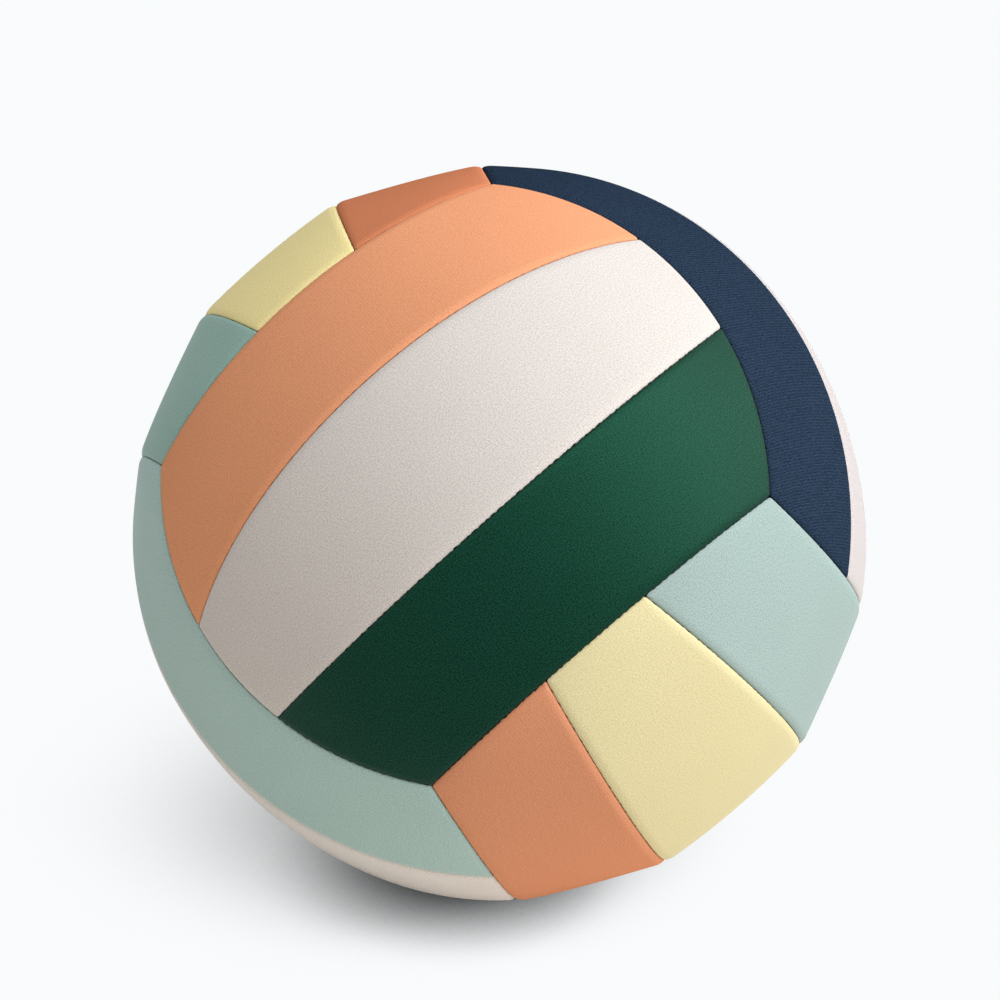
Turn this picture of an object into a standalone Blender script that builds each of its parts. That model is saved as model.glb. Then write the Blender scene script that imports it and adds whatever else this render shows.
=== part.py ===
"""Inflated volleyball with a sewn soft cover: eighteen panels, their seam threads, a bladder and its needle valve.

Metres, +Z up, origin at the ball's centre. The ball is modelled square to its own axes and then
turned, by one empty, to the way it lies on the floor.
"""

import math

import bmesh
import bpy
from mathutils import Vector

# Ball and cover
BALL_DIAMETER = 0.210  # over the ridges beside the seams
PANEL_THICKNESS = 0.003  # foam with a knitted face
PANEL_DIP = 0.0014  # a panel's middle lies this far inside the ridges
SHOULDER_RADIUS = 0.0025  # roll of a panel's edge into its seam
FLANGE_DEPTH = 0.004  # turned-in seam allowance, below the panel's inner face
FLANGE_THICKNESS = 0.0018  # foam pressed thin by the stitching
SEAM_GAP = 0.0004  # between two panels sewn face to face
CLEARANCE = 0.0003  # between pieces that touch

# Seam layout, in degrees seen from the ball's centre
END_REACH = 51.8  # a face's middle to its end seam
MIDDLE_HALF_WIDTH = 14.3  # middle strip, half way along
MIDDLE_HALF_WIDTH_AT_END = 9.6
STRIP_TWIST = 0.67  # sideways lean of the strips at their ends
LIE = (40.6, -35.3, 21.3)  # turn of the ball about X, Y and Z

# Sewing thread
THREAD_DIAMETER = 0.0006

# Bladder and valve
BLADDER_WALL = 0.001
PATCH_DIAMETER = 0.026
PATCH_THICKNESS = 0.0008
HOUSING_FLANGE_DIAMETER = 0.022
HOUSING_FLANGE_THICKNESS = 0.001
NECK_DIAMETER = 0.0094  # through the panel
VALVE_RECESS = 0.0005  # outer face below the panel's middle
TAIL_DIAMETER = 0.0074  # through the bladder's wall
TAIL_LENGTH = 0.008  # inside the bladder
PLUG_DIAMETER = 0.0038
BEAD_DIAMETER = 0.0050  # keeps the plug in its groove
BEAD_HEIGHT = 0.0016
BEAD_DEPTH = 0.005  # bead's middle below the outer face
PLUG_RECESS = 0.0003
NEEDLE_HOLE_DIAMETER = 0.0012

# Fineness
ALONG = 12  # steps along a panel
ACROSS = 4
SHOULDER_STEPS = 2
BLADDER_STEPS = 24
BLADDER_RINGS = 10
VALVE_STEPS = 20

# Linear colours, with roughness
COLOURS = {
    "orange": ((0.66, 0.29, 0.15), 0.85),
    "cream": ((0.72, 0.67, 0.63), 0.85),
    "green": ((0.016, 0.080, 0.052), 0.85),
    "navy": ((0.030, 0.058, 0.100), 0.85),
    "sage": ((0.40, 0.52, 0.47), 0.85),
    "yellow": ((0.78, 0.68, 0.37), 0.85),
    "thread": ((0.12, 0.10, 0.08), 0.70),
    "bladder": ((0.03, 0.03, 0.03), 0.55),
    "valve": ((0.62, 0.60, 0.56), 0.50),
    "patch": ((0.55, 0.53, 0.50), 0.90),
}

X, Y, Z = Vector((1, 0, 0)), Vector((0, 1, 0)), Vector((0, 0, 1))
# Each face: its outward normal, the way its strips run, the way they lie side by side, and the
# colours of its strips from the far side to the near one
FACES = {
    "front": (Z, X, Y, ("orange", "cream", "green")),
    "back": (-Z, -X, Y, ("green", "cream", "orange")),
    "right": (X, Y, Z, ("navy", "cream", "sage")),
    "left": (-X, -Y, Z, ("sage", "cream", "navy")),
    "top": (Y, Z, X, ("orange", "yellow", "sage")),
    "bottom": (-Y, -Z, X, ("sage", "yellow", "orange")),
}
STRIP_SIDES = (1, 0, -1)
VALVE_PANEL = "back_panel_cream"

# Values that follow from the dimensions
RIDGE_RADIUS = BALL_DIAMETER / 2
CORNER = 1 / math.sqrt(3)  # each share of a cube corner's direction
EDGE_INSET = SEAM_GAP / 2
TIP_DEPTH = PANEL_THICKNESS + FLANGE_DEPTH
STEP_ANGLE = 2 * math.radians(END_REACH) / ALONG
MIDDLE_RADIUS = RIDGE_RADIUS - PANEL_DIP
FACET_SAG = RIDGE_RADIUS * (1 - math.cos(STEP_ANGLE / 2))
PATCH_RADIUS = MIDDLE_RADIUS - PANEL_THICKNESS - FACET_SAG - CLEARANCE
HOUSING_RADIUS = PATCH_RADIUS - PATCH_THICKNESS - CLEARANCE
BLADDER_RADIUS = min(
    RIDGE_RADIUS - TIP_DEPTH - FACET_SAG - CLEARANCE,
    HOUSING_RADIUS - HOUSING_FLANGE_THICKNESS - CLEARANCE,
)
VALVE_FACE = MIDDLE_RADIUS - VALVE_RECESS
# The thread lies where the two shoulders leave room for it
THREAD_DEPTH = SHOULDER_RADIUS - math.sqrt(
    (SHOULDER_RADIUS + THREAD_DIAMETER / 2 + CLEARANCE) ** 2 - (SHOULDER_RADIUS + EDGE_INSET) ** 2
)
THREAD_STOP = THREAD_DIAMETER + CLEARANCE  # short of the seam that it runs into


def clear_scene():
    for item in list(bpy.data.objects):
        bpy.data.objects.remove(item, do_unlink=True)


def material(name):
    """The Principled material of one colour, made once."""
    found = bpy.data.materials.get(name)
    if found:
        return found
    colour, roughness = COLOURS[name]
    made = bpy.data.materials.new(name)
    made.use_nodes = True
    shader = made.node_tree.nodes["Principled BSDF"]
    shader.inputs["Base Color"].default_value = (*colour, 1)
    shader.inputs["Roughness"].default_value = roughness
    shader.inputs["Metallic"].default_value = 0
    return made


def add_object(name, data, colour, parent):
    item = bpy.data.objects.new(name, data)
    bpy.context.collection.objects.link(item)
    item.parent = parent
    data.materials.append(material(colour))
    return item


def finish_mesh(name, shape):
    """Turns a bmesh into a smooth-shaded mesh with crisp edges."""
    bmesh.ops.recalc_face_normals(shape, faces=shape.faces)
    mesh = bpy.data.meshes.new(name)
    shape.to_mesh(mesh)
    shape.free()
    mesh.shade_smooth()
    mesh.set_sharp_from_angle(angle=math.radians(50))
    return mesh


# Seam layout: a place on a face is an angle along its strips and a sideways share of the unit ball


def end_angle(y):
    """Angle from a face's middle to its end seam, a plane cut through two cube corners."""
    reach = math.radians(END_REACH)
    tilt = math.atan2(math.sin(reach) - CORNER, math.cos(reach) - CORNER)
    offset = CORNER * (math.cos(tilt) - math.sin(tilt))
    return tilt + math.asin(offset / math.sqrt(1 - y * y))


def strip_seam(side, t):
    """Place on the seam beside the middle strip, for t from -1 to 1."""
    middle = math.sin(math.radians(MIDDLE_HALF_WIDTH))
    end = math.sin(math.radians(MIDDLE_HALF_WIDTH_AT_END))
    twist = math.sin(math.radians(STRIP_TWIST))
    y_at_end = side * end + math.copysign(twist, t)
    y = side * (middle + (end - middle) * t * t) + twist * t
    return t * end_angle(y_at_end), y


def long_edge(side, t):
    """Place on a face's long edge, which is the end seam of the neighbour there."""
    along = t * CORNER
    across = math.sqrt(1 - along * along)
    angle = end_angle(along)
    return math.atan2(along, across * math.sin(angle)), side * across * math.cos(angle)


def strip_edges(strip):
    """The two long edges of a strip: 1 and -1 are the outer strips, 0 the middle one."""
    if strip == 0:
        return (lambda t: strip_seam(-1, t)), (lambda t: strip_seam(1, t))
    edges = (lambda t: strip_seam(strip, t)), (lambda t: long_edge(strip, t))
    return edges if strip > 0 else edges[::-1]


def blend(a, b, share):
    return a + (b - a) * share


def panel_place(strip, t, w):
    """Place inside a strip, for t from -1 to 1 along it and w from 0 to 1 across it."""
    low, high = strip_edges(strip)
    angle = blend(low(t)[0], high(t)[0], w)
    y = blend(low(t)[1], high(t)[1], w)
    for end in (-1, 1):
        y_at_end = blend(low(end)[1], high(end)[1], w)
        straight = blend(low(end)[0], high(end)[0], w)
        angle += (end * end_angle(y_at_end) - straight) * (1 + end * t) / 2
    return angle, y


def direction(face, angle, y):
    normal, along, sideways, _ = FACES[face]
    out = math.sqrt(1 - y * y)
    return normal * (out * math.cos(angle)) + along * (out * math.sin(angle)) + sideways * y


def panel_point(face, strip, t, w, inset, depth, dip):
    """Point of a panel: inset from its seams and below its outer surface."""
    low, high = strip_edges(strip)
    width = RIDGE_RADIUS * (math.asin(high(t)[1]) - math.asin(low(t)[1]))
    first, y = panel_place(strip, -1, w)
    last, _ = panel_place(strip, 1, w)
    length = RIDGE_RADIUS * (last - first) * math.sqrt(1 - y * y)
    sunk = dip * (1 - (2 * w - 1) ** 2) * (1 - t**4)
    place = panel_place(strip, t * (1 - 2 * inset / length), 0.5 + (w - 0.5) * (1 - 2 * inset / width))
    return direction(face, *place) * (RIDGE_RADIUS - sunk - depth)


# Cover panels


def panel_grid(shape, face, strip, inset, depth):
    return [
        [
            shape.verts.new(panel_point(face, strip, 2 * i / ALONG - 1, j / ACROSS, inset, depth, PANEL_DIP))
            for j in range(ACROSS + 1)
        ]
        for i in range(ALONG + 1)
    ]


def around(grid):
    """The border of a grid, once round."""
    last_row, last = len(grid) - 1, len(grid[0]) - 1
    return (
        [grid[i][0] for i in range(last_row)]
        + [grid[last_row][j] for j in range(last)]
        + [grid[i][last] for i in range(last_row, 0, -1)]
        + [grid[0][j] for j in range(last, 0, -1)]
    )


def panel_ring(shape, face, strip, inset, depth):
    places = around([[(2 * i / ALONG - 1, j / ACROSS) for j in range(ACROSS + 1)] for i in range(ALONG + 1)])
    return [shape.verts.new(panel_point(face, strip, t, w, inset, depth, 0)) for t, w in places]


def edge_profile():
    """Inset and depth of each ring, from the shoulder round the flange to its inner foot."""
    rings = []
    for step in range(1, SHOULDER_STEPS + 1):
        turn = math.pi / 2 * step / SHOULDER_STEPS
        rings.append(
            (EDGE_INSET + SHOULDER_RADIUS * (1 - math.sin(turn)), SHOULDER_RADIUS * (1 - math.cos(turn)))
        )
    rings.append((EDGE_INSET, TIP_DEPTH))
    rings.append((EDGE_INSET + FLANGE_THICKNESS, TIP_DEPTH))
    return rings


def make_panel(face, strip, colour, parent):
    name = f"{face}_panel_{colour}"
    shape = bmesh.new()
    outer = panel_grid(shape, face, strip, EDGE_INSET + SHOULDER_RADIUS, 0)
    inner = panel_grid(shape, face, strip, EDGE_INSET + FLANGE_THICKNESS, PANEL_THICKNESS)
    loops = [around(outer)]
    loops += [panel_ring(shape, face, strip, inset, depth) for inset, depth in edge_profile()]
    loops.append(around(inner))
    for one, other in zip(loops, loops[1:]):
        for k in range(len(one)):
            shape.faces.new((one[k - 1], one[k], other[k], other[k - 1]))
    for grid in (outer, inner):
        for i in range(ALONG):
            for j in range(ACROSS):
                shape.faces.new((grid[i][j], grid[i + 1][j], grid[i + 1][j + 1], grid[i][j + 1]))
    return add_object(name, finish_mesh(name, shape), colour, parent)


# Seam threads


def make_thread(name, face, path, parent):
    """A thread along path(t), stopped short of the seams at its two ends."""
    radius = RIDGE_RADIUS - THREAD_DEPTH
    ends = [direction(face, *path(t)) * radius for t in (-1, -1 + 2 / ALONG)]
    stop = THREAD_STOP / (ends[1] - ends[0]).length * 2 / ALONG
    data = bpy.data.curves.new(name, "CURVE")
    data.dimensions = "3D"
    data.bevel_depth = THREAD_DIAMETER / 2
    data.bevel_resolution = 1
    data.use_fill_caps = True
    spline = data.splines.new("POLY")
    spline.points.add(ALONG)
    for k, point in enumerate(spline.points):
        t = max(stop - 1, min(1 - stop, 2 * k / ALONG - 1))
        point.co = (*(direction(face, *path(t)) * radius), 1)
    return add_object(name, data, "thread", parent)


def end_seam(end, t):
    """Place on a face's own end seam, from corner to corner."""
    return end * end_angle(t * CORNER), t * CORNER


def make_threads(face, parent):
    for letter, side in (("a", 1), ("b", -1)):
        make_thread(f"{face}_strip_thread_{letter}", face, lambda t: strip_seam(side, t), parent)
        make_thread(f"{face}_end_thread_{letter}", face, lambda t: end_seam(side, t), parent)


# Bladder and valve, turned about the valve's axis


def turned(name, profile, steps, colour, parent):
    """A body turned about Z from a profile of (radius, height) points."""
    shape = bmesh.new()
    points = [shape.verts.new((radius, 0, height)) for radius, height in profile]
    closed = all(radius > 0 for radius, _ in profile)
    pairs = list(zip(points, points[1:]))
    if closed:
        pairs.append((points[-1], points[0]))
    edges = [shape.edges.new(pair) for pair in pairs]
    bmesh.ops.spin(
        shape, geom=points + edges, cent=(0, 0, 0), axis=Z, angle=2 * math.pi, steps=steps, use_merge=True
    )
    bmesh.ops.remove_doubles(shape, verts=shape.verts, dist=1e-6)
    return add_object(name, finish_mesh(name, shape), colour, parent)


def height_at(ball_radius, radius):
    """Height of a ball's surface over a circle round the valve's axis."""
    return math.sqrt(ball_radius**2 - radius**2)


def make_bladder(parent):
    """A hollow ball, open where the valve's tail goes in."""
    mouth = TAIL_DIAMETER / 2 + CLEARANCE
    profile = []
    for ball_radius, rings in (
        (BLADDER_RADIUS, range(BLADDER_RINGS, -1, -1)),
        (BLADDER_RADIUS - BLADDER_WALL, range(BLADDER_RINGS + 1)),
    ):
        start = math.asin(mouth / ball_radius)
        for ring in rings:
            turn = blend(start, math.pi, ring / BLADDER_RINGS)
            radius = 0 if ring == BLADDER_RINGS else ball_radius * math.sin(turn)
            profile.append((radius, ball_radius * math.cos(turn)))
    turned("bladder", profile, BLADDER_STEPS, "bladder", parent)


def make_patch(parent):
    """Cloth ring under the panel, round the valve's neck."""
    inner = NECK_DIAMETER / 2 + CLEARANCE
    outer = PATCH_DIAMETER / 2
    low = PATCH_RADIUS - PATCH_THICKNESS
    profile = [
        (inner, height_at(PATCH_RADIUS, inner)),
        (outer, height_at(PATCH_RADIUS, outer)),
        (outer, height_at(low, outer)),
        (inner, height_at(low, inner)),
    ]
    turned("valve_patch", profile, VALVE_STEPS, "patch", parent)


def make_housing(parent):
    """Neck through the panel, flange on the bladder and tail inside it, with a groove in the bore."""
    bore = PLUG_DIAMETER / 2 + CLEARANCE
    groove = BEAD_DIAMETER / 2 + CLEARANCE
    groove_top = VALVE_FACE - BEAD_DEPTH + BEAD_HEIGHT / 2 + CLEARANCE
    groove_foot = VALVE_FACE - BEAD_DEPTH - BEAD_HEIGHT / 2 - CLEARANCE
    neck = NECK_DIAMETER / 2
    rim = HOUSING_FLANGE_DIAMETER / 2
    tail = TAIL_DIAMETER / 2
    under = HOUSING_RADIUS - HOUSING_FLANGE_THICKNESS
    tail_foot = BLADDER_RADIUS - BLADDER_WALL - TAIL_LENGTH
    profile = [
        (bore, VALVE_FACE),
        (neck, VALVE_FACE),
        (neck, height_at(HOUSING_RADIUS, neck)),
        (rim, height_at(HOUSING_RADIUS, rim)),
        (rim, height_at(under, rim)),
        (tail, height_at(under, tail)),
        (tail, tail_foot),
        (bore, tail_foot),
        (bore, groove_foot),
        (groove, groove_foot),
        (groove, groove_top),
        (bore, groove_top),
    ]
    turned("valve_housing", profile, VALVE_STEPS, "valve", parent)


def make_plug(parent):
    """Needle plug, held by a bead, with the needle's hole through it."""
    hole = NEEDLE_HOLE_DIAMETER / 2
    body = PLUG_DIAMETER / 2
    bead = BEAD_DIAMETER / 2
    top = VALVE_FACE - PLUG_RECESS
    middle = VALVE_FACE - BEAD_DEPTH
    foot = BLADDER_RADIUS - BLADDER_WALL - TAIL_LENGTH + PLUG_RECESS
    profile = [
        (hole, top),
        (body, top),
        (body, middle + BEAD_HEIGHT / 2),
        (bead, middle),
        (body, middle - BEAD_HEIGHT / 2),
        (body, foot),
        (hole, foot),
    ]
    turned("valve_plug", profile, VALVE_STEPS, "valve", parent)


def cut_valve_hole(panel, parent):
    """Hole for the valve's neck through the panel that carries it."""
    shape = bmesh.new()
    radius = NECK_DIAMETER / 2 + CLEARANCE
    bmesh.ops.create_cone(
        shape, cap_ends=True, segments=VALVE_STEPS, radius1=radius, radius2=radius, depth=4 * PANEL_THICKNESS
    )
    cutter = add_object("valve_hole_cutter", finish_mesh("valve_hole_cutter", shape), "patch", parent)
    cutter.location = (0, 0, MIDDLE_RADIUS - PANEL_THICKNESS / 2)
    cutter.hide_render = True
    cutter.display_type = "WIRE"
    cut = panel.modifiers.new("valve hole", "BOOLEAN")
    cut.operation = "DIFFERENCE"
    cut.object = cutter


def main():
    clear_scene()
    ball = bpy.data.objects.new("ball_axes", None)
    bpy.context.collection.objects.link(ball)
    ball.rotation_euler = [math.radians(turn) for turn in LIE]
    valve_axis = bpy.data.objects.new("valve_axis", None)
    bpy.context.collection.objects.link(valve_axis)
    valve_axis.parent = ball
    valve_axis.rotation_euler = (math.pi, 0, 0)
    panels = {}
    for face, (_, _, _, colours) in FACES.items():
        for strip, colour in zip(STRIP_SIDES, colours):
            panel = make_panel(face, strip, colour, ball)
            panels[panel.name] = panel
        make_threads(face, ball)
    make_bladder(valve_axis)
    make_patch(valve_axis)
    make_housing(valve_axis)
    make_plug(valve_axis)
    cut_valve_hole(panels[VALVE_PANEL], valve_axis)


main()
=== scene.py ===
"""Looks of the sewn volleyball: padded cover, stitched seams, valve, cloth, floor, light and camera."""

import math

import bmesh
import bpy
import numpy as np
from mathutils import Euler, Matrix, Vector


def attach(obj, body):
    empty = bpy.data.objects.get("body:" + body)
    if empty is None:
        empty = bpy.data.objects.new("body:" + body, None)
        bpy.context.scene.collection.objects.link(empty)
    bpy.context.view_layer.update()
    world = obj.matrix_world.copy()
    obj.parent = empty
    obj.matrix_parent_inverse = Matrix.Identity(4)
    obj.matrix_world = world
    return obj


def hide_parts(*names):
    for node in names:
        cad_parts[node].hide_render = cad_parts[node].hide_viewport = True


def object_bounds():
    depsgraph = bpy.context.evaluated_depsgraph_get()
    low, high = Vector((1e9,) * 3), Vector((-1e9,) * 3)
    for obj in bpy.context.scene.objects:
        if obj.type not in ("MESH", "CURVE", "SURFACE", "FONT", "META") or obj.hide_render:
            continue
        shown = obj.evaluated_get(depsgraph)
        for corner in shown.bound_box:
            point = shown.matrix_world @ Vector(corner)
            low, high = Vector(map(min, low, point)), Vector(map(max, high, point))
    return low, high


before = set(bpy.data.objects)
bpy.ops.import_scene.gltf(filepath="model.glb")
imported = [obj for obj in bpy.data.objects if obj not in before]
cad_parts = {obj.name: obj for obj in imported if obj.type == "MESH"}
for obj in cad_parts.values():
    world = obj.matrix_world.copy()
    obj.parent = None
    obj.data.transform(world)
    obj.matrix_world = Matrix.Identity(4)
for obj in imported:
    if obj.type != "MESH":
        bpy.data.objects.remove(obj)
CAD_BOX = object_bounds()

# Ball and cover, in metres, as in the solid model
RIDGE_RADIUS = 0.105
PANEL_THICKNESS = 0.003
PANEL_DIP = 0.0014
TIP_DEPTH = 0.007
FLANGE_THICKNESS = 0.0018
ROLL_WIDTH = 0.0024  # soft rounding towards a seam
ROLL_DROP = 0.00040
LIP_WIDTH = 0.0008  # tighter turn into the seam
LIP_DEPTH = 0.00030
CORNER_ROUND = 0.0009
RIDGE_INSET = 0.0025  # where a panel stands highest

# Seam layout, in degrees seen from the ball's centre
END_REACH = 51.82
MIDDLE_HALF_WIDTH = 14.32
MIDDLE_HALF_WIDTH_AT_END = 9.57
STRIP_TWIST = 0.665
LIE = (40.6, -35.3, 21.3)
CORNER = 1 / math.sqrt(3)

# Faces: outward, along the strips and sideways, and the strips' colours
TURN = np.array(Euler([math.radians(a) for a in LIE]).to_matrix())
X, Y, Z = np.eye(3)
FACES = {
    "front": (Z, X, Y, ("orange", "cream", "green")),
    "back": (-Z, -X, Y, ("green", "cream", "orange")),
    "right": (X, Y, Z, ("navy", "cream", "sage")),
    "left": (-X, -Y, Z, ("sage", "cream", "navy")),
    "top": (Y, Z, X, ("orange", "yellow", "sage")),
    "bottom": (-Y, -Z, X, ("sage", "yellow", "orange")),
}
STRIPS = (1, 0, -1)
# Faces whose strips run against their neighbours' sideways direction
TURNED = ("back", "left", "bottom")
VALVE_FACE_NAME = "back"
VALVE_PANEL = "back_panel_cream"

# Stitching
STITCH_PITCH = 0.0023
TIGHT = 0.00005  # half the seam's opening at a stitch
LOOSE = 0.00021  # and between two stitches, at most
LOOSE_REACH = 0.0005  # how far the opening draws the panel's edge back
GAPE_MIDDLE = 0.55  # share of the loose opening between two stitches, and how far it strays
GAPE_SPREAD = 0.45
GAPE_SCATTER = (12.9898, 4.1, 7.233)  # turns that make it stray from stitch to stitch
SWAY = 0.00008  # how far the seam is drawn to and fro by its stitches
SWAY_WAVES = ((1.0, 2 * math.pi, 0.0), (0.6, 4.31, 1.0), (0.8, 10.7, 0.0))  # size, turn to a stitch, start
SWAY_FADE = 6  # power with which the sway fades out at a seam's ends
THREAD_RADIUS = 0.00020
THREAD_TOP = 0.0017  # depth of the thread where a stitch crosses the seam
THREAD_LOW = 0.0021  # and between two stitches
THREAD_SWING = 0.00010
THREAD_REACH = 0.995  # share of its seam that a thread runs along
THREAD_TIP = 0.5  # share of its radius that a thread keeps at its ends
CHANNEL = 0.00038  # half the width of the room round the thread

# Valve: radii, and heights from the ball's centre
HOLE_RADIUS = 0.0050
LIP_RADIUS = 0.0085
LIP_DROP = 0.0007
VALVE_SINK = 0.0005  # how far the valve's face lies below the panel's
VALVE_FACE = RIDGE_RADIUS - PANEL_DIP - VALVE_SINK
VALVE_FOOT = 0.0884
NECK_RADIUS = 0.0047
NECK_ROUND = 0.0005
BORE_CHAMFER = 0.0004
HOUSING_RADIUS = 0.0989  # ball on which the housing's flange lies
HOUSING_FLANGE_RADIUS = 0.0110
HOUSING_FLANGE_THICKNESS = 0.0010
TAIL_RADIUS = 0.0037
PLUG_RADIUS = 0.0019
PLUG_ROUND = 0.0003
BEAD_RADIUS = 0.0025
BEAD_HALF_HEIGHT = 0.0008
BEAD_DEPTH = 0.005  # below the valve's face
BEAD_MIDDLE = VALVE_FACE - BEAD_DEPTH
NEEDLE_RADIUS = 0.0006
FUNNEL_WIDTH = 0.0005  # widening of the needle's hole at the plug's face
FUNNEL_FOOT = 0.0006
FUNNEL_TOP = 0.0001
CLEARANCE = 0.0003

# Fineness
ALONG = 360  # steps along a panel's edge
ACROSS = 96
COARSE = 4  # edge steps to one step of the panel's middle
BORDER = 0.008  # inset of the coarse middle
RING_INSETS = (
    0.0065, 0.0052, 0.0042, 0.0034, 0.00275, 0.0022, 0.00175, 0.00135,
    0.0010, 0.00072, 0.0005, 0.00033, 0.0002, 0.00011, 0.0,
)
LIP_SHARES = (1, 0.75, 0.5, 0.3, 0.15, 0.05, 0)  # rings from the lip's outside to the valve's hole
HOLE_CELLS = (6, 7)  # steps of the middle left out on each side of the valve, along and across
THREAD_STEPS = 12  # points to one stitch
THREAD_SIDES = 6
LATHE_STEPS = 48
ROUND_STEPS = 4
SHARP_ANGLE = 40

# Each cloth: colour, how far its loops stray from it, how clear its ribs are, gloss and the gloss's tint
WHITE = (1.0, 1.0, 1.0)
COLOURS = {
    "orange": ((0.671, 0.278, 0.149), 0.10, 0.25, 0.0, WHITE),
    "cream": ((0.680, 0.635, 0.597), 0.14, 0.08, 0.05, WHITE),
    "green": ((0.0034, 0.0226, 0.0139), 0.95, 0.1, 0.29, (0.2, 1.0, 0.6)),
    "navy": ((0.0150, 0.0325, 0.0610), 0.42, 0.5, 0.0, (0.35, 0.65, 1.0)),
    "sage": ((0.302, 0.390, 0.374), 0.15, 0.1, 0.10, WHITE),
    "yellow": ((0.784, 0.659, 0.332), 0.11, 0.1, 0.05, WHITE),
}
# Painted light and shade: panels made lighter or darker than their cloth's colour, to stand in for how
# light falls on each
PANEL_LIGHT_AND_SHADE = {
    "front_panel_orange": (1.13, 1.21, 1.21),
    "front_panel_cream": (0.905, 0.90, 0.91),
    "front_panel_green": (0.77, 0.89, 0.90),
    "right_panel_navy": (1.28, 1.01, 0.93),
    "right_panel_cream": (0.75, 0.75, 0.80),
    "left_panel_sage": (1.32, 1.40, 1.40),
    "left_panel_cream": (1.06, 1.07, 1.09),
    "top_panel_orange": (0.92, 0.81, 0.76),
    "top_panel_yellow": (1.19, 1.20, 1.16),
    "top_panel_sage": (0.96, 1.15, 1.08),
    "bottom_panel_yellow": (0.85, 0.91, 1.07),
    "bottom_panel_orange": (0.96, 1.02, 1.08),
}
# Turn of the cloth's ribs from square across the strip, in degrees
GRAIN = {
    "bottom_panel_yellow": 90,
    "bottom_panel_sage": 18,
    "bottom_panel_orange": 90,
    "left_panel_sage": 90,
    "top_panel_sage": 90,
    "right_panel_cream": 90,
}

# Knit: sizes in metres, and grains to a metre of each irregularity
RIB_PITCH = 0.00090
LOOP_SIZE = 0.00060
WANDER_GRAIN = 300.0
BREAK_GRAIN = 1300.0
YARN_GRAIN = 2600.0
CLEAR_GRAIN = 230.0
BLOTCH_GRAIN = 45.0
FIBRE_GRAIN = 5000.0
# How strongly each of them shows
RIB_WANDER = 3.0
RIB_BREAK = 0.4
RIB_SHARE = 2.0
LOOP_EDGE = 0.40
LOOP_SCATTER = 0.5
LOOP_SHARE = 0.6
YARN_SHARE = 0.8
CLEAR_LEAST = 0.5
WEAVE_SHARE = 2.5
BLOTCH_SHARE = 0.2
FIBRE_SHARE = 0.3
GAP_SHADE_DEPTH = 0.5  # how much darker and richer the colour is in the gaps between loops: painted shade
CLOTH_ROUGHNESS = 0.55
CLOTH_BUMP = 0.3
PLAIN_BUMP = 0.2
BUMP_HEIGHT = 0.0001

# Plain materials: colour, roughness, grains to a metre, and how far the grain strays from the colour
THREAD_LOOK = ((0.10, 0.085, 0.07), 0.7, 6000.0, 0.2)
VALVE_LOOK = ((0.62, 0.60, 0.56), 0.5, 900.0, 0.05)
BLADDER_LOOK = ((0.03, 0.03, 0.03), 0.55, 500.0, 0.08)
PATCH_LOOK = ((0.55, 0.53, 0.50), 0.9, 2500.0, 0.08)

# Floor and background
FLOOR_HALF = 4.0
FLOOR_WHITE = (0.88, 0.84, 0.77, 1)
FLOOR_ROUGHNESS = 0.9
BACKGROUND = (0.947, 0.965, 0.973, 1)
BLACK = (0, 0, 0, 1)
# The floor's two painted soft shadows: where their light would come from, and the share of open sky at
# which they end
SHADOWS = (
    (120, 68, 0.355),
    (40, 45, 0.714),
)
SHADOW_REACH = 0.32
SHADOW_SAMPLES = 32
SKY_DISTANCE = 1.0

# Large soft lights: azimuth, elevation and level
LIGHTS = {
    "upper": (37, 68, 0.61),
    "right": (74, 35, 0.73),
    "side": (95, 20, 0.37),
    "rim": (-100, 35, 0.12),
}
LIGHT_SPREAD = 50
LIGHT_DISTANCE = 2.0
FILL_COLOUR = (0.95, 0.97, 1.0, 1)
FILL_LEVEL = 0.03

# Camera
CAMERA_ELEVATION = 25.0
CAMERA_DISTANCE = 1.355
FOCAL_PIXELS = 4728.0
PICTURE = 1000
BALL_PIXEL_BELOW_MIDDLE = 33
SENSOR_WIDTH = 36.0


# Seam layout


def end_angle(y):
    """Angle from a face's middle to its end seam, a plane cut through two cube corners."""
    reach = math.radians(END_REACH)
    tilt = math.atan2(math.sin(reach) - CORNER, math.cos(reach) - CORNER)
    offset = CORNER * (math.cos(tilt) - math.sin(tilt))
    return tilt + np.arcsin(offset / np.sqrt(1 - y * y))


def strip_seam(side, t):
    """Place on the seam beside the middle strip."""
    middle = math.sin(math.radians(MIDDLE_HALF_WIDTH))
    end = math.sin(math.radians(MIDDLE_HALF_WIDTH_AT_END))
    twist = math.sin(math.radians(STRIP_TWIST))
    y_at_end = side * end + np.copysign(twist, t)
    y = side * (middle + (end - middle) * t * t) + twist * t
    return t * end_angle(y_at_end), y


def long_edge(side, t):
    """Place on a face's long edge, which is the end seam of the neighbour there."""
    along = t * CORNER
    across = np.sqrt(1 - along * along)
    angle = end_angle(along)
    return np.arctan2(along, across * np.sin(angle)), side * across * np.cos(angle)


def end_seam(end, t):
    """Place on a face's own end seam, from corner to corner."""
    return end * end_angle(t * CORNER), t * CORNER


def strip_edges(strip):
    """The two long edges of a strip, the lower one first."""
    if strip == 0:
        return (lambda t: strip_seam(-1, t)), (lambda t: strip_seam(1, t))
    edges = (lambda t: strip_seam(strip, t)), (lambda t: long_edge(strip, t))
    return edges if strip > 0 else edges[::-1]


def blend(a, b, share):
    return a + (b - a) * share


def panel_place(strip, t, w):
    """Place inside a strip: angle along it and sideways share of the unit ball."""
    low, high = strip_edges(strip)
    (low_angle, low_y), (high_angle, high_y) = low(t), high(t)
    angle = blend(low_angle, high_angle, w)
    y = blend(low_y, high_y, w)
    for end in (-1.0, 1.0):
        (low_angle, low_y), (high_angle, high_y) = low(end), high(end)
        straight = blend(low_angle, high_angle, w)
        angle = angle + (end * end_angle(blend(low_y, high_y, w)) - straight) * (1 + end * t) / 2
    return angle, y


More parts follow.
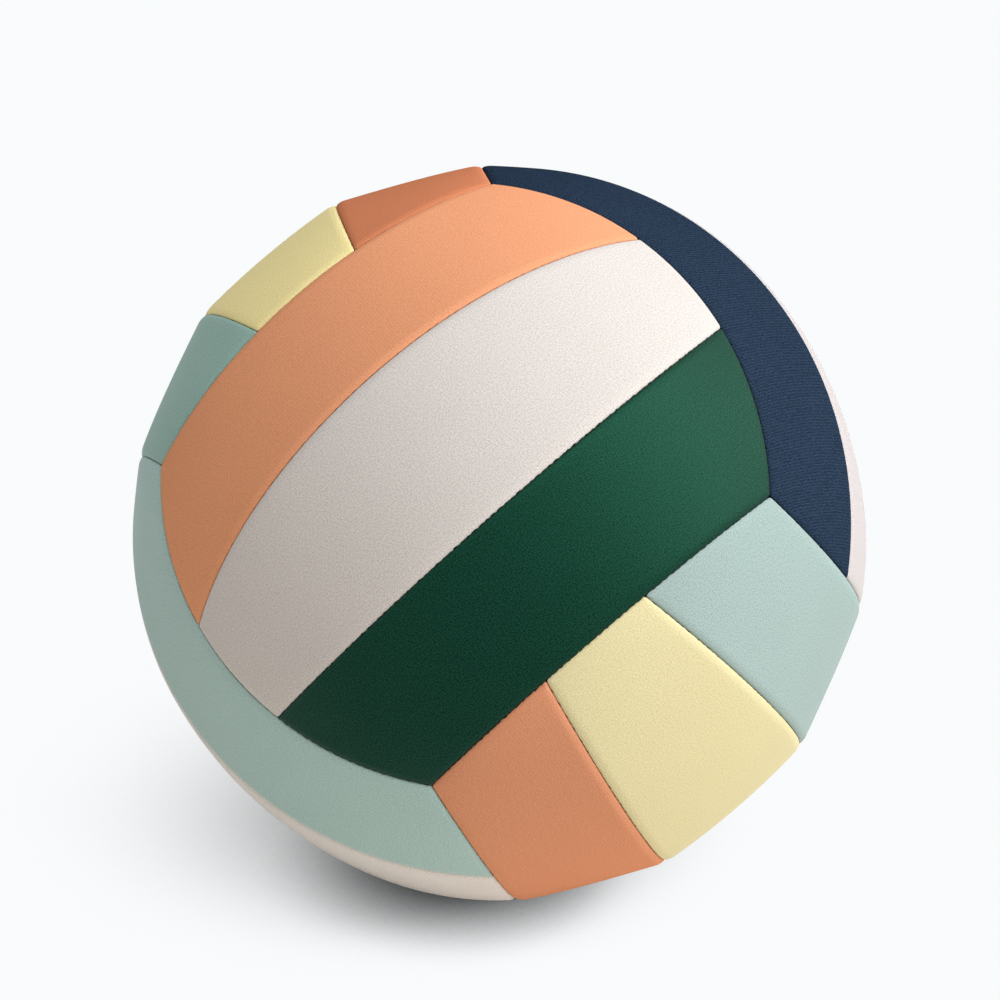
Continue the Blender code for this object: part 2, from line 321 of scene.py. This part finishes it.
def direction(face, angle, y):
    """Unit directions in the row frame."""
    normal, along, sideways, _ = FACES[face]
    level = np.sqrt(1 - y * y)
    local = np.outer(level * np.cos(angle), normal) + np.outer(level * np.sin(angle), along)
    return (local + np.outer(y, sideways)) @ TURN.T


def panel_sizes(strip, t, w):
    """Length of the strip at w and its width at t."""
    low, high = strip_edges(strip)
    width = RIDGE_RADIUS * (np.arcsin(high(t)[1]) - np.arcsin(low(t)[1]))
    first, y = panel_place(strip, -1.0, w)
    last, _ = panel_place(strip, 1.0, w)
    return RIDGE_RADIUS * (last - first) * np.sqrt(1 - y * y), width


def stitch(place):
    """1 where a stitch holds the seam and 0 between stitches."""
    return (0.5 + 0.5 * np.cos(2 * math.pi * place)) ** 2


def strip_stitches(t):
    """Stitches counted along a strip seam."""
    return t * round(RIDGE_RADIUS * math.radians(END_REACH) / STITCH_PITCH)


def end_stitches(y):
    """Stitches counted along an end seam."""
    return np.arcsin(y) / math.asin(CORNER) * round(RIDGE_RADIUS * math.asin(CORNER) / STITCH_PITCH)


def seam_opening(count):
    """Half the opening of a seam, tight at each stitch and looser between, by no two the same amount."""
    between = np.floor(count)
    turn, swing, swing_turn = GAPE_SCATTER
    share = GAPE_MIDDLE + GAPE_SPREAD * np.sin(turn * between + swing * np.sin(swing_turn * between))
    return TIGHT + (LOOSE - TIGHT) * share * np.sin(math.pi * (count - between)) ** 2


def seam_sway(count, share):
    """Sideways wander of a seam from stitch to stitch, fading out at its ends."""
    wave = sum(size * np.sin(turn * count + start) for size, turn, start in SWAY_WAVES)
    return SWAY * wave * (1 - share**SWAY_FADE)


# Cover panels


def shoulder_drop(d):
    """Depth of the rolled edge at a distance from the seam."""
    roll = ROLL_DROP * np.clip(1 - d / ROLL_WIDTH, 0, 1) ** 2
    lip = LIP_DEPTH * np.clip(1 - d / LIP_WIDTH, 0, 1) ** 2
    return roll + lip + np.maximum(-d, 0)


def surface_depth(t, w, length, width):
    """Depth of the outer surface below the ridge radius."""
    from_end = (1 - np.abs(t)) * length / 2
    from_side = np.minimum(w, 1 - w) * width
    corner = np.hypot(np.maximum(CORNER_ROUND - from_end, 0), np.maximum(CORNER_ROUND - from_side, 0))
    from_corner = np.where(corner > 0, CORNER_ROUND - corner, np.inf)
    near = np.minimum(np.minimum(from_end, from_side), from_corner)
    across = np.clip(np.abs(2 * w - 1) / (1 - 2 * RIDGE_INSET / width), 0, 1)
    along = np.clip(np.abs(t) / (1 - 2 * RIDGE_INSET / length), 0, 1)
    return PANEL_DIP * (1 - across**2) * (1 - along**4) + shoulder_drop(near)


def inner_depth(t, w):
    """Depth of the inner face, which follows the outer one."""
    return PANEL_THICKNESS + PANEL_DIP * (1 - (2 * w - 1) ** 2) * (1 - t**4)


def edge_opening(face, strip, t, w):
    """How far the edge of a panel lies from its seam's line, at places round the panel."""
    outer_side = (strip != 0) & ((w > 0.5) == (strip > 0))
    along = -t if face in TURNED else t
    _, y_at_end = panel_place(strip, np.sign(t), w)
    at_end = np.abs(t) == 1
    count = np.where(outer_side, end_stitches(along * CORNER), strip_stitches(t))
    count = np.where(at_end, end_stitches(y_at_end), count)
    hand = np.where(at_end, 1, np.where(outer_side, -1, np.where(w > 0.5, 1, -1)))
    share = np.where(at_end, y_at_end / CORNER, t)
    length, width = panel_sizes(strip, t, w)
    from_corner = np.where(at_end, np.minimum(w, 1 - w) * width, (1 - np.abs(t)) * length / 2)
    turn = math.pi / 4 * (1 + np.clip(from_corner / CORNER_ROUND, 0, 1))
    return seam_opening(count) + hand * seam_sway(count, share) + CORNER_ROUND * (1 - np.sin(turn))


def perimeter(along, across):
    """Base places once round a panel's edge."""
    t = np.linspace(-1, 1, along + 1)
    w = np.linspace(0, 1, across + 1)
    return (
        np.concatenate([t[:-1], np.ones(across), t[:0:-1], -np.ones(across)]),
        np.concatenate([np.zeros(along), w[:-1], np.ones(along), w[:0:-1]]),
    )


def flat_grid(along, across):
    """Base places all over a panel."""
    t, w = np.meshgrid(np.linspace(-1, 1, along + 1), np.linspace(0, 1, across + 1), indexing="ij")
    return t.ravel(), w.ravel()


def around(grid):
    """The outermost points of a grid, in order."""
    return np.concatenate([grid[:-1, 0], grid[-1, :-1], grid[:0:-1, -1], grid[0, :0:-1]])


def face_outwards(mesh):
    shape = bmesh.new()
    shape.from_mesh(mesh)
    bmesh.ops.recalc_face_normals(shape, faces=shape.faces)
    shape.to_mesh(mesh)
    shape.free()


class Sheet:
    """Points, faces and cloth coordinates of one mesh, gathered part by part."""

    def __init__(self):
        self.points, self.cloth, self.faces, self.count = [], [], [], 0

    def add(self, points, cloth):
        start = self.count
        self.points.append(points)
        self.cloth.append(cloth)
        self.count += len(points)
        return np.arange(start, self.count)

    def bridge(self, one, other):
        """Quads between two rings of as many points."""
        self.faces += np.stack([one, np.roll(one, -1), np.roll(other, -1), other], 1).tolist()

    def step(self, fine, coarse):
        """Triangles between a coarse ring and one with COARSE times its points."""
        after = np.roll(coarse, -1)
        f = [np.roll(fine, -k)[::COARSE] for k in range(COARSE + 1)]
        half = COARSE // 2
        for k in range(COARSE):
            self.faces += np.stack([coarse if k < half else after, f[k], f[k + 1]], 1).tolist()
        self.faces += np.stack([coarse, f[half], after], 1).tolist()

    def grid(self, index, skip=None):
        """Quads between the points of a grid, apart from the cells to skip."""
        for i in range(index.shape[0] - 1):
            for j in range(index.shape[1] - 1):
                if skip is None or not skip[i, j]:
                    self.faces.append(
                        [index[i, j], index[i + 1, j], index[i + 1, j + 1], index[i, j + 1]]
                    )

    def turn_cloth(self, turn):
        spin = np.array([[math.cos(turn), -math.sin(turn)], [math.sin(turn), math.cos(turn)]])
        self.cloth = [cloth @ spin.T for cloth in self.cloth]

    def mesh(self, name):
        """The mesh of the points that faces use, with the cloth coordinates as its UV map."""
        points = np.concatenate(self.points)
        cloth = np.concatenate(self.cloth)
        used = np.zeros(len(points), bool)
        for face in self.faces:
            used[face] = True
        new = np.cumsum(used) - 1
        faces = [[int(new[k]) for k in face] for face in self.faces]
        mesh = bpy.data.meshes.new(name)
        mesh.from_pydata(points[used].tolist(), [], faces)
        face_outwards(mesh)
        corners = np.zeros(len(mesh.loops), np.int32)
        mesh.loops.foreach_get("vertex_index", corners)
        layer = mesh.uv_layers.new(name="cloth")
        layer.uv.foreach_set("vector", cloth[used][corners].astype(np.float32).ravel())
        mesh.shade_smooth()
        return mesh


def panel_points(face, strip, t_base, w_base, inset, depth=None):
    """Points inset from the seams, on the outer surface or at a depth, and their cloth coordinates."""
    length, width = panel_sizes(strip, t_base, w_base)
    t = t_base * (1 - 2 * inset / length)
    w = 0.5 + (w_base - 0.5) * (1 - 2 * inset / width)
    below = surface_depth(t, w, length, width) if depth is None else depth
    angle, y = panel_place(strip, t, w)
    points = direction(face, angle, y) * (RIDGE_RADIUS - below)[:, None]
    cloth = RIDGE_RADIUS * np.stack([angle * np.sqrt(1 - y * y), np.arcsin(y)], 1)
    return points, cloth


def edge_rings(sheet, face, strip):
    """Rings from the panel's middle over its rolled edge, round the thread and down to the tip."""
    t, w = perimeter(ALONG, ACROSS)
    at_end = np.abs(t) == 1
    at_side = np.abs(w - 0.5) == 0.5
    out = np.stack([np.where(at_end, t, 0), np.where(at_side, 2 * w - 1, 0)], 1)
    opening = edge_opening(face, strip, t, w)
    rings = []
    taken_up = 0.0  # cloth that the slope has taken up so far
    last_inset, last_depth = RING_INSETS[0], 0.0
    for inset in RING_INSETS:
        depth = float(shoulder_drop(inset))
        run = last_inset - inset
        taken_up += math.hypot(run, depth - last_depth) - run
        last_inset, last_depth = inset, depth
        moved = inset + opening * math.exp(-inset / LOOSE_REACH)
        points, cloth = panel_points(face, strip, t, w, moved)
        rings.append(sheet.add(points, cloth + out * taken_up))
    wall = (
        (CHANNEL, THREAD_TOP - 2 * THREAD_RADIUS),
        (CHANNEL, THREAD_LOW + 2 * THREAD_RADIUS),
        (TIGHT, THREAD_LOW + 4 * THREAD_RADIUS),
        (TIGHT, TIP_DEPTH),
    )
    for inset, depth in wall:
        taken_up += depth - last_depth
        last_depth = depth
        points, cloth = panel_points(face, strip, t, w, inset, np.full(len(t), depth))
        rings.append(sheet.add(points, cloth + out * taken_up))
    return rings


def panel_mesh(face, strip, name):
    """A padded panel: coarse middle, fine edge, turned-in flange and inner face."""
    sheet = Sheet()
    small = ALONG // COARSE, ACROSS // COARSE
    shape = small[0] + 1, small[1] + 1
    t, w = flat_grid(*small)
    outer = sheet.add(*panel_points(face, strip, t, w, BORDER)).reshape(shape)
    rings = edge_rings(sheet, face, strip)
    sheet.step(rings[0], around(outer))
    for one, other in zip(rings, rings[1:]):
        sheet.bridge(one, other)
    t_edge, w_edge = perimeter(*small)
    flange = TIGHT + FLANGE_THICKNESS
    tip = np.full(len(t_edge), TIP_DEPTH)
    foot = sheet.add(*panel_points(face, strip, t_edge, w_edge, flange, tip))
    sheet.step(rings[-1], foot)
    inner = sheet.add(*panel_points(face, strip, t, w, flange, inner_depth(t, w))).reshape(shape)
    sheet.bridge(foot, around(inner))
    if name == VALVE_PANEL:
        cut_hole(sheet, face, outer, inner)
    else:
        sheet.grid(outer)
        sheet.grid(inner)
    sheet.turn_cloth(math.radians(GRAIN.get(name, 0)))
    return sheet.mesh(name)


def cut_hole(sheet, face, outer, inner):
    """Leaves the middle of both grids out and joins them round the valve's hole, with a rolled lip."""
    rows, columns = (
        slice(count // 2 - reach, count // 2 + reach + 1) for count, reach in zip(outer.shape, HOLE_CELLS)
    )
    block = np.zeros((outer.shape[0] - 1, outer.shape[1] - 1), bool)
    block[rows.start : rows.stop - 1, columns.start : columns.stop - 1] = True
    sheet.grid(outer, block)
    sheet.grid(inner, block)
    outer_loop, inner_loop = (around(grid[rows, columns]) for grid in (outer, inner))
    places = np.concatenate(sheet.cloth)[outer_loop]
    turn = np.arctan2(places[:, 1], places[:, 0])
    rings = [outer_loop]
    for share in LIP_SHARES:
        radius = blend(HOLE_RADIUS, LIP_RADIUS, share)
        drop = LIP_DROP * (1 - math.sqrt(1 - (1 - share) ** 2))
        rings.append(hole_ring(sheet, face, turn, radius, PANEL_DIP + drop))
    rings.append(hole_ring(sheet, face, turn, HOLE_RADIUS, PANEL_DIP + PANEL_THICKNESS))
    rings.append(inner_loop)
    for one, other in zip(rings, rings[1:]):
        sheet.bridge(one, other)


def hole_ring(sheet, face, turn, radius, depth):
    cloth = radius * np.stack([np.cos(turn), np.sin(turn)], 1)
    angle, sideways = cloth.T / RIDGE_RADIUS
    points = direction(face, angle, np.sin(sideways)) * (RIDGE_RADIUS - depth)
    return sheet.add(points, cloth)


def add_piece(name, mesh, node, material):
    piece = bpy.data.objects.new(name, mesh)
    bpy.context.collection.objects.link(piece)
    mesh.materials.append(material)
    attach(piece, "root")
    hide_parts(node)
    return piece


def make_cover():
    for face, (_, _, _, colours) in FACES.items():
        for strip, colour in zip(STRIPS, colours):
            node = f"{face}_panel_{colour}"
            dye_and_painted_shade, contrast, ribs, gloss, tint = COLOURS[colour]
            # Painted light and shade: the cloth's colour scaled by the panel's share in the table of
            # lighter and darker panels
            dye_and_painted_shade = [c * share for c, share in zip(dye_and_painted_shade, PANEL_LIGHT_AND_SHADE.get(node, WHITE))]
            cloth = knit(f"cloth_{face}_{colour}", dye_and_painted_shade, contrast, ribs, gloss, tint)
            mesh = panel_mesh(face, strip, node)
            piece = add_piece(f"{face}_cover_{colour}", mesh, node, cloth)


# Threads


def tube_mesh(name, centres):
    """A closed thread along points, thinner at its ends."""
    out = centres / np.linalg.norm(centres, axis=1)[:, None]
    tangent = np.gradient(centres, axis=0)
    tangent /= np.linalg.norm(tangent, axis=1)[:, None]
    side = np.cross(tangent, out)
    side /= np.linalg.norm(side, axis=1)[:, None]
    up = np.cross(side, tangent)
    turns = np.arange(THREAD_SIDES) * 2 * math.pi / THREAD_SIDES
    thick = np.full(len(centres), THREAD_RADIUS)
    thick[[0, -1]] = THREAD_RADIUS * THREAD_TIP
    rings = centres[:, None] + thick[:, None, None] * (
        np.cos(turns)[None, :, None] * side[:, None] + np.sin(turns)[None, :, None] * up[:, None]
    )
    index = np.arange(len(centres) * THREAD_SIDES).reshape(-1, THREAD_SIDES)
    after = np.roll(index, -1, axis=1)
    quads = np.stack([index[:-1], index[1:], after[1:], after[:-1]], -1).reshape(-1, 4)
    caps = [index[0].tolist(), index[-1].tolist()[::-1]]
    mesh = bpy.data.meshes.new(name)
    mesh.from_pydata(rings.reshape(-1, 3).tolist(), [], quads.tolist() + caps)
    mesh.shade_smooth()
    return mesh


def thread_path(face, path, stitches):
    """The thread dips between stitches and swings across the seam at each."""
    count = int(2 * abs(stitches(np.array([1.0]))[0]))
    t = np.linspace(-THREAD_REACH, THREAD_REACH, THREAD_STEPS * count + 1)
    place = stitches(t)
    depth = blend(THREAD_LOW, THREAD_TOP, stitch(place))
    centres = direction(face, *path(t)) * (RIDGE_RADIUS - depth)[:, None]
    along = np.gradient(centres, axis=0)
    side = np.cross(along, centres)
    side /= np.linalg.norm(side, axis=1)[:, None]
    return centres + side * (THREAD_SWING * np.sin(math.pi * place))[:, None]


def make_threads():
    thread = plain("sewing_thread", *THREAD_LOOK)
    for face in FACES:
        for letter, side in (("a", 1), ("b", -1)):
            rows = (
                ("strip", lambda t: strip_seam(side, t), strip_stitches),
                ("end", lambda t: end_seam(side, t), lambda t: end_stitches(t * CORNER)),
            )
            for kind, path, stitches in rows:
                name = f"{face}_{kind}_stitches_{letter}"
                mesh = tube_mesh(name, thread_path(face, path, stitches))
                add_piece(name, mesh, f"{face}_{kind}_thread_{letter}", thread)


# Valve


def lathe_mesh(name, profile):
    """A body turned about the valve's axis from a closed profile of radii and heights."""
    axis = direction(VALVE_FACE_NAME, np.array([0.0]), np.array([0.0]))[0]
    side = TURN @ X
    other = np.cross(axis, side)
    turns = np.arange(LATHE_STEPS) * 2 * math.pi / LATHE_STEPS
    spokes = np.outer(np.cos(turns), side) + np.outer(np.sin(turns), other)
    radii, heights = np.array(profile).T
    points = radii[:, None, None] * spokes[None] + heights[:, None, None] * axis
    index = np.arange(len(profile) * LATHE_STEPS).reshape(-1, LATHE_STEPS)
    after = np.roll(index, -1, axis=1)
    next_index, next_after = np.roll(index, -1, axis=0), np.roll(after, -1, axis=0)
    quads = np.stack([index, after, next_after, next_index], -1).reshape(-1, 4)
    mesh = bpy.data.meshes.new(name)
    mesh.from_pydata(points.reshape(-1, 3).tolist(), [], quads.tolist())
    face_outwards(mesh)
    mesh.shade_smooth()
    mesh.set_sharp_from_angle(angle=math.radians(SHARP_ANGLE))
    return mesh


def rounded(radius, height, round_by):
    """An outer top corner of a profile, rounded."""
    turns = np.linspace(0, math.pi / 2, ROUND_STEPS + 1)
    inner, under = radius - round_by, height - round_by
    return [(inner + round_by * math.sin(a), under + round_by * math.cos(a)) for a in turns]


def on_ball(ball, radius):
    """A profile's point on a ball round the centre."""
    return radius, math.sqrt(ball**2 - radius**2)


def housing_profile():
    """Bore with the bead's groove, neck, flange on the bladder and tail."""
    bore = PLUG_RADIUS + CLEARANCE
    groove = BEAD_RADIUS + CLEARANCE
    groove_foot = BEAD_MIDDLE - BEAD_HALF_HEIGHT - CLEARANCE
    groove_top = BEAD_MIDDLE + BEAD_HALF_HEIGHT + CLEARANCE
    under = HOUSING_RADIUS - HOUSING_FLANGE_THICKNESS
    return [
        (bore, VALVE_FOOT),
        (bore, groove_foot),
        (groove, groove_foot),
        (groove, groove_top),
        (bore, groove_top),
        (bore, VALVE_FACE - BORE_CHAMFER),
        (bore + BORE_CHAMFER, VALVE_FACE),
        *rounded(NECK_RADIUS, VALVE_FACE, NECK_ROUND),
        on_ball(HOUSING_RADIUS, NECK_RADIUS),
        on_ball(HOUSING_RADIUS, HOUSING_FLANGE_RADIUS),
        on_ball(under, HOUSING_FLANGE_RADIUS),
        on_ball(under, TAIL_RADIUS),
        (TAIL_RADIUS, VALVE_FOOT),
    ]


def plug_profile():
    """Needle's hole with its funnel, rounded face and the bead."""
    top = VALVE_FACE - CLEARANCE
    foot = VALVE_FOOT + CLEARANCE
    return [
        (NEEDLE_RADIUS, foot),
        (NEEDLE_RADIUS, top - FUNNEL_FOOT),
        (NEEDLE_RADIUS + FUNNEL_WIDTH, top - FUNNEL_TOP),
        *rounded(PLUG_RADIUS, top, PLUG_ROUND),
        (PLUG_RADIUS, BEAD_MIDDLE + BEAD_HALF_HEIGHT),
        (BEAD_RADIUS, BEAD_MIDDLE),
        (PLUG_RADIUS, BEAD_MIDDLE - BEAD_HALF_HEIGHT),
        (PLUG_RADIUS, foot),
    ]


def make_valve():
    rubber = plain("valve_rubber", *VALVE_LOOK)
    body = lathe_mesh("valve_body", housing_profile())
    add_piece("valve_body", body, "valve_housing", rubber)
    plug = lathe_mesh("valve_needle_plug", plug_profile())
    add_piece("valve_needle_plug", plug, "valve_plug", rubber)


# Materials


class Nodes:
    """Short ways to make and link the shader nodes of a material or a world."""

    def __init__(self, owner):
        owner.use_nodes = True
        self.owner = owner
        self.tree = owner.node_tree
        self.shader = self.tree.nodes.get("Principled BSDF")

    def new(self, kind, **values):
        node = self.tree.nodes.new(kind)
        for key, value in values.items():
            setattr(node, key, value)
        return node

    def put(self, value, socket):
        if isinstance(value, bpy.types.NodeSocket):
            self.tree.links.new(value, socket)
        else:
            socket.default_value = value

    def math(self, operation, a, b=0.0, c=0.0):
        node = self.new("ShaderNodeMath", operation=operation)
        for value, socket in zip((a, b, c), node.inputs):
            self.put(value, socket)
        return node.outputs[0]

    def noise(self, vector, scale, detail=0.0, roughness=0.5):
        node = self.new("ShaderNodeTexNoise")
        self.put(vector, node.inputs["Vector"])
        node.inputs["Scale"].default_value = scale
        node.inputs["Detail"].default_value = detail
        node.inputs["Roughness"].default_value = roughness
        return node.outputs["Fac"]

    def mix(self, factor, a, b):
        node = self.new("ShaderNodeMix", data_type="RGBA")
        self.put(factor, node.inputs["Factor"])
        self.put(a, node.inputs["A"])
        self.put(b, node.inputs["B"])
        return node.outputs["Result"]

    def bump(self, height, strength):
        node = self.new("ShaderNodeBump")
        node.inputs["Strength"].default_value = strength
        node.inputs["Distance"].default_value = BUMP_HEIGHT
        self.put(height, node.inputs["Height"])
        return node.outputs[0]

    def glow(self, colour):
        node = self.new("ShaderNodeEmission")
        self.put(colour, node.inputs["Color"])
        return node.outputs[0]

    def mix_shader(self, factor, one, other):
        node = self.new("ShaderNodeMixShader")
        for value, socket in zip((factor, one, other), node.inputs):
            self.put(value, socket)
        return node.outputs[0]

    def background_rays(self):
        """1 for the rays that see the background's white: the camera's, and those of gloss and glass."""
        path = self.new("ShaderNodeLightPath").outputs
        rays = self.math("ADD", path["Is Camera Ray"], path["Is Glossy Ray"])
        return self.math("MINIMUM", self.math("ADD", rays, path["Is Transmission Ray"]), 1.0)

    def set(self, **values):
        """Values of the material's shader, with underscores for the spaces in their names."""
        for key, value in values.items():
            self.put(value, self.shader.inputs[key.replace("_", " ")])


def rgba(colour, share=1.0):
    return (*(min(1.0, c * share) for c in colour), 1.0)


def knit_ribs(nodes, cloth):
    """Broken ribs that wander a little, square to the cloth's first direction."""
    split = nodes.new("ShaderNodeSeparateXYZ")
    nodes.put(cloth, split.inputs[0])
    wander = nodes.math("MULTIPLY", nodes.noise(cloth, WANDER_GRAIN), RIB_WANDER)
    turn = nodes.math("MULTIPLY_ADD", split.outputs["X"], 2 * math.pi / RIB_PITCH, wander)
    breaks = nodes.math("SUBTRACT", nodes.noise(cloth, BREAK_GRAIN), RIB_BREAK)
    return nodes.math("MULTIPLY", nodes.math("SINE", turn), breaks)


def knit_loops(nodes, cloth):
    """Small loops, lighter in their middles, between dark gaps, with uneven yarn; the light middles are
    partly painted highlight and the dark gaps partly painted shade.
    """
    cells = nodes.new("ShaderNodeTexVoronoi", voronoi_dimensions="2D")
    nodes.put(cloth, cells.inputs["Vector"])
    cells.inputs["Scale"].default_value = 1 / LOOP_SIZE
    cells.inputs["Randomness"].default_value = LOOP_SCATTER
    loop = nodes.math("SUBTRACT", LOOP_EDGE, cells.outputs["Distance"])
    yarn = nodes.math("SUBTRACT", nodes.noise(cloth, YARN_GRAIN), 0.5)
    return nodes.math("MULTIPLY_ADD", loop, LOOP_SHARE, nodes.math("MULTIPLY", yarn, YARN_SHARE))


def knit(name, colour, contrast, ribs, gloss, tint):
    """Fine knit: loops and ribs that show more clearly in some places, in a slightly blotched colour."""
    nodes = Nodes(bpy.data.materials.new(name))
    cloth = nodes.new("ShaderNodeUVMap", uv_map="cloth").outputs[0]
    loops = nodes.math("MULTIPLY", knit_loops(nodes, cloth), 1 - ribs)
    weave = nodes.math("MULTIPLY_ADD", knit_ribs(nodes, cloth), RIB_SHARE * ribs, loops)
    clear = nodes.math("ADD", nodes.noise(cloth, CLEAR_GRAIN, detail=1.0), CLEAR_LEAST)
    weave = nodes.math("MULTIPLY", weave, clear)
    blotch = nodes.math("SUBTRACT", nodes.noise(cloth, BLOTCH_GRAIN, detail=3.0), 0.5)
    tone = nodes.math("MULTIPLY_ADD", weave, WEAVE_SHARE, 0.5)
    tone = nodes.math("MULTIPLY_ADD", blotch, BLOTCH_SHARE, tone)
    # Painted shade and highlight, along with the knit's own tone: the gaps take a darker, richer colour
    # and the loops' middles a lighter one
    gap_shade_colour = [c * (c / max(colour)) ** (GAP_SHADE_DEPTH * contrast) for c in colour]
    fibre = nodes.noise(cloth, FIBRE_GRAIN, detail=3.0, roughness=0.7)
    height = nodes.math("MULTIPLY_ADD", fibre, FIBRE_SHARE, weave)
    nodes.set(
        Base_Color=nodes.mix(tone, rgba(gap_shade_colour, 1 - contrast), rgba(colour, 1 + contrast)),
        Roughness=CLOTH_ROUGHNESS,
        Specular_IOR_Level=gloss,
        Specular_Tint=rgba(tint),
        Normal=nodes.bump(height, CLOTH_BUMP),
    )
    return nodes.owner


def plain(name, colour, roughness, grain, contrast):
    """Rubber, thread or plain cloth with a fine irregular grain."""
    nodes = Nodes(bpy.data.materials.new(name))
    place = nodes.new("ShaderNodeTexCoord").outputs["Object"]
    fine = nodes.noise(place, grain, detail=4.0, roughness=0.6)
    nodes.set(
        Base_Color=nodes.mix(fine, rgba(colour, 1 - contrast), rgba(colour, 1 + contrast)),
        Roughness=roughness,
        Normal=nodes.bump(fine, PLAIN_BUMP),
    )
    return nodes.owner


def paint_inner_nodes():
    looks = {
        "bladder": plain("bladder_rubber", *BLADDER_LOOK),
        "valve_patch": plain("patch_cloth", *PATCH_LOOK),
    }
    for node, material in looks.items():
        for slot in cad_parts[node].material_slots:
            slot.material = material


# Floor, light and camera


def aim(item, place):
    """Puts a light or the camera in its place and turns it to the ball's centre."""
    item.location = place
    item.rotation_euler = (-Vector(place)).to_track_quat("-Z", "Y").to_euler()


def from_angles(azimuth, elevation, distance):
    """Place at an azimuth from the viewer's side towards the right, and an elevation."""
    a, e = math.radians(azimuth), math.radians(elevation)
    return (
        distance * math.cos(e) * math.sin(a),
        -distance * math.cos(e) * math.cos(a),
        distance * math.sin(e),
    )


def soft_shadow(nodes, azimuth, elevation, rim):
    """Light on the floor: 0 where the ball hides the sky on one side, 1 where enough of it is open."""
    lean = nodes.new("ShaderNodeCombineXYZ")
    for socket, value in zip(lean.inputs, from_angles(azimuth, elevation, 1.0)):
        socket.default_value = value
    open_sky = nodes.new("ShaderNodeAmbientOcclusion", samples=SHADOW_SAMPLES)
    open_sky.inputs["Distance"].default_value = SKY_DISTANCE
    nodes.put(lean.outputs[0], open_sky.inputs["Normal"])
    light = nodes.new("ShaderNodeMapRange", interpolation_type="SMOOTHSTEP")
    nodes.put(open_sky.outputs["AO"], light.inputs["Value"])
    light.inputs["From Max"].default_value = rim
    return light.outputs[0]


def floor_material():
    """White paper, seen as a studio's burnt-out white glow with a painted soft shadow round the ball."""
    nodes = Nodes(bpy.data.materials.new("floor_white"))
    nodes.set(Base_Color=FLOOR_WHITE, Roughness=FLOOR_ROUGHNESS, Specular_IOR_Level=0.0)
    light = nodes.math("MULTIPLY", *(soft_shadow(nodes, *shadow) for shadow in SHADOWS))
    # Painted shadow: the floor's glow darkens towards black where the ball hides the sky
    shaded = nodes.glow(nodes.mix(light, BLACK, BACKGROUND))
    distance = nodes.new("ShaderNodeVectorMath", operation="LENGTH")
    nodes.put(nodes.new("ShaderNodeTexCoord").outputs["Object"], distance.inputs[0])
    near = nodes.math("LESS_THAN", distance.outputs["Value"], SHADOW_REACH)
    seen = nodes.mix_shader(near, nodes.glow(BACKGROUND), shaded)
    paper = nodes.mix_shader(nodes.background_rays(), nodes.shader.outputs[0], seen)
    nodes.put(paper, nodes.tree.nodes["Material Output"].inputs["Surface"])
    return nodes.owner


def make_floor():
    low = CAD_BOX[0][2]
    sides = ((-1, -1), (1, -1), (1, 1), (-1, 1))
    mesh = bpy.data.meshes.new("floor")
    mesh.from_pydata([(x * FLOOR_HALF, y * FLOOR_HALF, low) for x, y in sides], [], [(0, 1, 2, 3)])
    floor = bpy.data.objects.new("floor", mesh)
    bpy.context.collection.objects.link(floor)
    mesh.materials.append(floor_material())


def make_lights():
    """Large soft lights far off; at level 1 one lights a white surface facing it to full white."""
    for name, (azimuth, elevation, level) in LIGHTS.items():
        data = bpy.data.lights.new(name, "SUN")
        data.angle = math.radians(LIGHT_SPREAD)
        data.energy = math.pi * level
        light = bpy.data.objects.new(name, data)
        bpy.context.collection.objects.link(light)
        aim(light, from_angles(azimuth, elevation, LIGHT_DISTANCE))


def make_world():
    """A faint fill light, behind which the background has the same white as the floor."""
    world = bpy.data.worlds.new("studio")
    bpy.context.scene.world = world
    nodes = Nodes(world)
    fill = nodes.tree.nodes["Background"]
    fill.inputs["Color"].default_value = FILL_COLOUR
    fill.inputs["Strength"].default_value = FILL_LEVEL
    backdrop = nodes.new("ShaderNodeBackground")
    backdrop.inputs["Color"].default_value = BACKGROUND
    seen = nodes.mix_shader(nodes.background_rays(), fill.outputs[0], backdrop.outputs[0])
    nodes.put(seen, nodes.tree.nodes["World Output"].inputs["Surface"])


def make_camera():
    data = bpy.data.cameras.new("camera")
    data.sensor_width = SENSOR_WIDTH
    data.lens = FOCAL_PIXELS / PICTURE * SENSOR_WIDTH
    data.shift_y = BALL_PIXEL_BELOW_MIDDLE / PICTURE
    camera = bpy.data.objects.new("camera", data)
    bpy.context.collection.objects.link(camera)
    aim(camera, from_angles(0, CAMERA_ELEVATION, CAMERA_DISTANCE))
    bpy.context.scene.camera = camera


make_camera()
make_cover()
make_threads()
make_valve()
paint_inner_nodes()
make_floor()
make_lights()
make_world()
bpy.context.scene.view_settings.view_transform = "Standard"
